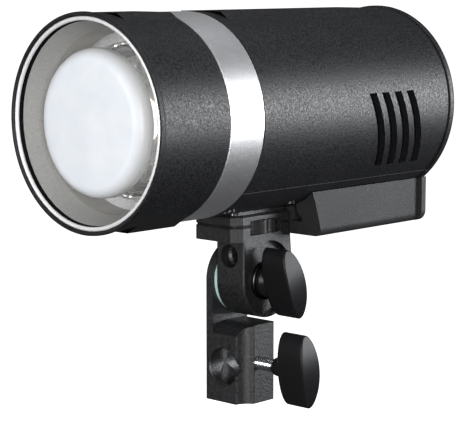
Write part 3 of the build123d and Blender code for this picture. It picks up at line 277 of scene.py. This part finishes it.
def paint_step_shade(name, bands):
    """Painted shade: blackens a moulding's narrow step faces, where shadow falls, and turns off their specular: each
    band is (y lowest, y highest, least height from the barrel axis, half width), mm.
    """
    m = MATS[name]
    nt = m.node_tree
    b = [n for n in nt.nodes if n.type == "BSDF_PRINCIPLED"][0]
    tc = nt.nodes.new("ShaderNodeTexCoord")
    sep = nt.nodes.new("ShaderNodeSeparateXYZ")
    nt.links.new(tc.outputs["Object"], sep.inputs[0])
    step_shade_mask = None
    for y0, y1, h, w in bands:
        a = mathn(nt, "MULTIPLY", mathn(nt, "GREATER_THAN", sep.outputs[1], y0 * MM), mathn(nt, "LESS_THAN", sep.outputs[1], y1 * MM))
        dz = mathn(nt, "SUBTRACT", sep.outputs[2], BZ * MM)
        c = mathn(nt, "GREATER_THAN", dz, h * MM) if h > 0 else mathn(nt, "LESS_THAN", dz, h * MM)
        d = mathn(nt, "LESS_THAN", mathn(nt, "ABSOLUTE", sep.outputs[0], 0.0), w * MM)
        k = mathn(nt, "MULTIPLY", mathn(nt, "MULTIPLY", a, c), d)
        step_shade_mask = k if step_shade_mask is None else mathn(nt, "MAXIMUM", step_shade_mask, k)
    old = b.inputs["Base Color"].links[0].from_socket
    mx = nt.nodes.new("ShaderNodeMix")
    mx.data_type = "RGBA"
    nt.links.new(step_shade_mask, mx.inputs[0])
    nt.links.new(old, mx.inputs[6])
    # painted shade: near-black colour for the shadowed step faces
    mx.inputs[7].default_value = (0.0015, 0.0015, 0.0016, 1)
    nt.links.new(mx.outputs[2], b.inputs["Base Color"])
    level = remap(nt, step_shade_mask, 0.0, 1.0, b.inputs["Specular IOR Level"].default_value, 0.0)
    nt.links.new(level, b.inputs["Specular IOR Level"])


led = [n for n in MATS["led_yellow"].node_tree.nodes if n.type == "BSDF_PRINCIPLED"][0]
led.inputs["Emission Color"].default_value = (1.0, 0.93, 0.80, 1)
led.inputs["Emission Strength"].default_value = 3.5


def painted_seam_highlight(name, half):
    """Painted highlight: a pale line along the real joint between the two shells, 45 degrees below the horizontal on
    each side, standing in for light caught on the seam's edge.
    """
    nt = MATS[name].node_tree
    b = [n for n in nt.nodes if n.type == "BSDF_PRINCIPLED"][0]
    sep = nt.nodes.new("ShaderNodeSeparateXYZ")
    nt.links.new(nt.nodes.new("ShaderNodeTexCoord").outputs["Object"], sep.inputs[0])
    d = mathn(nt, "ADD", mathn(nt, "ABSOLUTE", sep.outputs[0], 0.0), mathn(nt, "SUBTRACT", sep.outputs[2], BZ * MM))
    k = mathn(nt, "LESS_THAN", mathn(nt, "ABSOLUTE", d, 0.0), half * MM)
    old = b.inputs["Base Color"].links[0].from_socket
    mx = nt.nodes.new("ShaderNodeMix")
    mx.data_type = "RGBA"
    nt.links.new(k, mx.inputs[0])
    nt.links.new(old, mx.inputs[6])
    # painted highlight: pale colour of the seam line
    mx.inputs[7].default_value = (0.11, 0.11, 0.115, 1)
    nt.links.new(mx.outputs[2], b.inputs["Base Color"])


painted_seam_highlight("shell_plastic", 0.22)
# painted shade on the step faces at the front of the nose and body pads
paint_step_shade("nose_plastic", [(yb(8.55), yb(8.78), 41.0, 16.5), (yb(11.65), yb(11.88), -39.0, 20.5)])
paint_step_shade("shell_plastic", [(yb(67.05), yb(67.28), 40.0, 17.5)])
SLOT_MAT = {"reflector_chrome": "reflector_chrome"}
NODE_MAT = {"chrome_bowl": "bowl_chrome", "rear_panel": "panel_plastic", "contact_block": "panel_plastic", "thumb_wheel": "wheel_black"}
slot_of = {s["node"]: s["material_slot"] for s in frame["record"]["subparts"]}


def paint(obj, name):
    obj.data.materials.clear()
    obj.data.materials.append(MATS[name])


for n, o in NODES.items():
    paint(o, NODE_MAT.get(n, slot_of[n]))

# ------------------------------------------------------------------ finer pieces
def finish_mesh(name, bm, mat, body, nodes, sharp=32.0):
    bmesh.ops.remove_doubles(bm, verts=bm.verts, dist=1e-7)
    bmesh.ops.recalc_face_normals(bm, faces=bm.faces)
    for f in bm.faces:
        f.smooth = True
    for e in bm.edges:
        e.smooth = not (len(e.link_faces) == 2 and math.degrees(e.calc_face_angle(0.0)) > sharp)
    me = bpy.data.meshes.new(name)
    bm.to_mesh(me)
    bm.free()
    o = bpy.data.objects.new(name, me)
    bpy.context.scene.collection.objects.link(o)
    o.data.materials.append(MATS[mat])
    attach(o, body)
    if nodes:
        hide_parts(*nodes)
    return o


def lathe(name, prof, mat, body, nodes=(), seg=192):
    """Closed outline (distance behind the rim, radius) turned about the barrel axis."""
    bm = bmesh.new()
    rings = []
    for v, r in prof:
        if r < 1e-6:
            rings.append([bm.verts.new((0.0, yb(v) * MM, BZ * MM))] * seg)
        else:
            rings.append([bm.verts.new((r * MM * math.cos(2 * math.pi * k / seg), yb(v) * MM, (BZ + r * math.sin(2 * math.pi * k / seg)) * MM)) for k in range(seg)])
    for i in range(len(rings)):
        a, b = rings[i], rings[(i + 1) % len(rings)]
        for k in range(seg):
            q = []
            for p in (a[k], a[(k + 1) % seg], b[(k + 1) % seg], b[k]):
                if p not in q:
                    q.append(p)
            if len(q) >= 3 and bm.faces.get(q) is None:
                bm.faces.new(q)
    return finish_mesh(name, bm, mat, body, nodes)


def arc(cx, cy, r, a0, a1, n):
    return [(cx + r * math.cos(math.radians(a0 + (a1 - a0) * i / n)), cy + r * math.sin(math.radians(a0 + (a1 - a0) * i / n))) for i in range(n + 1)]


# dome: frosted cap with a rolled edge, and a clear skirt behind it
CAP = [(2.3 + 0.55 * (r / 25.6) ** 2, r) for r in [25.6 * i / 24 for i in range(25)]]
CAP += [(7.6 - 4.65 * math.cos(math.radians(t)), 25.6 + 4.8 * math.sin(math.radians(t))) for t in range(6, 91, 7)]
CAP += [(9.6, 30.4), (9.6, 28.5)]
CAP += [(8.0 - 2.4 * math.cos(math.radians(t)), 24.5 + 3.9 * math.sin(math.radians(t))) for t in range(84, -1, -12)]
CAP += [(4.6 + 1.0 * (r / 24.5) ** 2, r) for r in [24.0 * i / 12 for i in range(12, -1, -1)]]
lathe("dome_cap", CAP, "frosted_glass", "dome", ("glass_dome",))
lathe("dome_skirt", [(9.65, 28.5), (9.65, 30.35), (26.6, 30.35), (27.4, 30.2), (27.9, 29.7), (28.0, 29.3), (27.9, 28.8), (27.4, 28.5)], "clear_glass", "dome", ("glass_dome",))

# rim: rounded bright metal ring, its near-white diffuse colour partly a painted reflection of the front light, black
# groove behind it
lathe("rim_bright_ring", arc(1.25, 42.15, 0.88, 0, 345, 23), "rim_bright", "head", ("rim_ring",), 256)
lathe("rim_groove", [(1.5, 43.1), (1.5, 41.6), (1.9, 41.35), (2.5, 41.15), (3.6, 41.0), (3.6, 43.1)], "groove_black", "head", ("rim_ring",), 192)


# clamp screw: rolled helical thread
def threaded(name, x0, x1, cy, cz, r_out, depth, pitch, mat, body, nodes, seg=40, per=10):
    bm = bmesh.new()
    steps = int((x1 - x0) / pitch * per)
    rows = []
    for i in range(steps + 1):
        x = x0 + (x1 - x0) * i / steps
        row = []
        for k in range(seg):
            th = 2 * math.pi * k / seg
            w = (x / pitch - th / (2 * math.pi)) % 1.0
            t = abs(w - 0.5) * 2
            r = r_out - depth * min(1.0, max(0.0, (t - 0.1) / 0.78))
            r -= depth * 1.3 * max(0.0, 1 - (x - x0) / 0.6) + depth * 1.3 * max(0.0, 1 - (x1 - x) / 0.6)
            row.append(bm.verts.new((x * MM, (cy + r * math.cos(th)) * MM, (cz + r * math.sin(th)) * MM)))
        rows.append(row)
    for a, b in zip(rows, rows[1:]):
        for k in range(seg):
            bm.faces.new((a[k], a[(k + 1) % seg], b[(k + 1) % seg], b[k]))
    bm.faces.new(rows[0])
    bm.faces.new(rows[-1])
    return finish_mesh(name, bm, mat, body, nodes, sharp=60)


threaded("clamp_thread", 10.36, 35.9, 0.0, SZ, 2.94, 0.55, 1.0, "bright_zinc", "clamp_grip", ("clamp_screw",))

# ------------------------------------------------------------------ floor, light
fm, fnt, fb = new_mat("floor_white")
fv = coords(fnt)
fn = noise_tex(fnt, fv, 6, 2, 0.5)
fnt.links.new(ramp(fnt, fn, [(0.3, (0.93, 0.93, 0.93)), (0.7, (0.95, 0.95, 0.95))]), fb.inputs["Base Color"])
fb.inputs["Roughness"].default_value = 0.9
fb.inputs["Emission Color"].default_value = (1, 1, 1, 1)
fb.inputs["Emission Strength"].default_value = 1.1
bm = bmesh.new()
bmesh.ops.create_grid(bm, x_segments=8, y_segments=8, size=90.0)
fme = bpy.data.meshes.new("floor")
bm.to_mesh(fme)
bm.free()
floor = bpy.data.objects.new("floor", fme)
floor.location = (0, 0, -0.32)
bpy.context.scene.collection.objects.link(floor)
floor.data.materials.append(fm)
floor.visible_glossy = False
floor.visible_diffuse = False

bm = bmesh.new()
bmesh.ops.create_uvsphere(bm, u_segments=48, v_segments=24, radius=30.0)
bme = bpy.data.meshes.new("backdrop")
bm.to_mesh(bme)
bm.free()
backdrop = bpy.data.objects.new("backdrop", bme)
bpy.context.scene.collection.objects.link(backdrop)
backdrop.data.materials.append(fm)
backdrop.visible_glossy = False
backdrop.visible_diffuse = False
backdrop.visible_shadow = False

world = bpy.data.worlds.new("studio")
bpy.context.scene.world = world
world.use_nodes = True
world.node_tree.nodes["Background"].inputs["Color"].default_value = (1, 1, 1, 1)
world.node_tree.nodes["Background"].inputs["Strength"].default_value = 0.05
bpy.context.scene.view_settings.view_transform = "Standard"


def area(name, loc, target, size, power, color=(1, 1, 1)):
    d = bpy.data.lights.new(name, "AREA")
    d.shape = "RECTANGLE"
    d.size, d.size_y = size
    d.energy = power
    d.color = color
    o = bpy.data.objects.new(name, d)
    o.location = loc
    o.rotation_euler = (Vector(target) - Vector(loc)).to_track_quat("-Z", "Y").to_euler()
    bpy.context.scene.collection.objects.link(o)
    return o


CEN = (0.0, 0.0, 0.12)
area("key_side", (1.02, 1.10, 0.26), (0.0, -0.02, 0.13), (0.60, 0.66), 20, (0.96, 0.98, 1.0))
area("top_soft", (0.25, 0.10, 1.5), CEN, (0.7, 0.7), 11, (0.96, 0.98, 1.0))
area("front_fill", (-0.35, -1.5, 0.35), CEN, (0.9, 0.9), 9)
area("front_right", (1.35, -1.35, 0.30), CEN, (0.8, 0.8), 32)
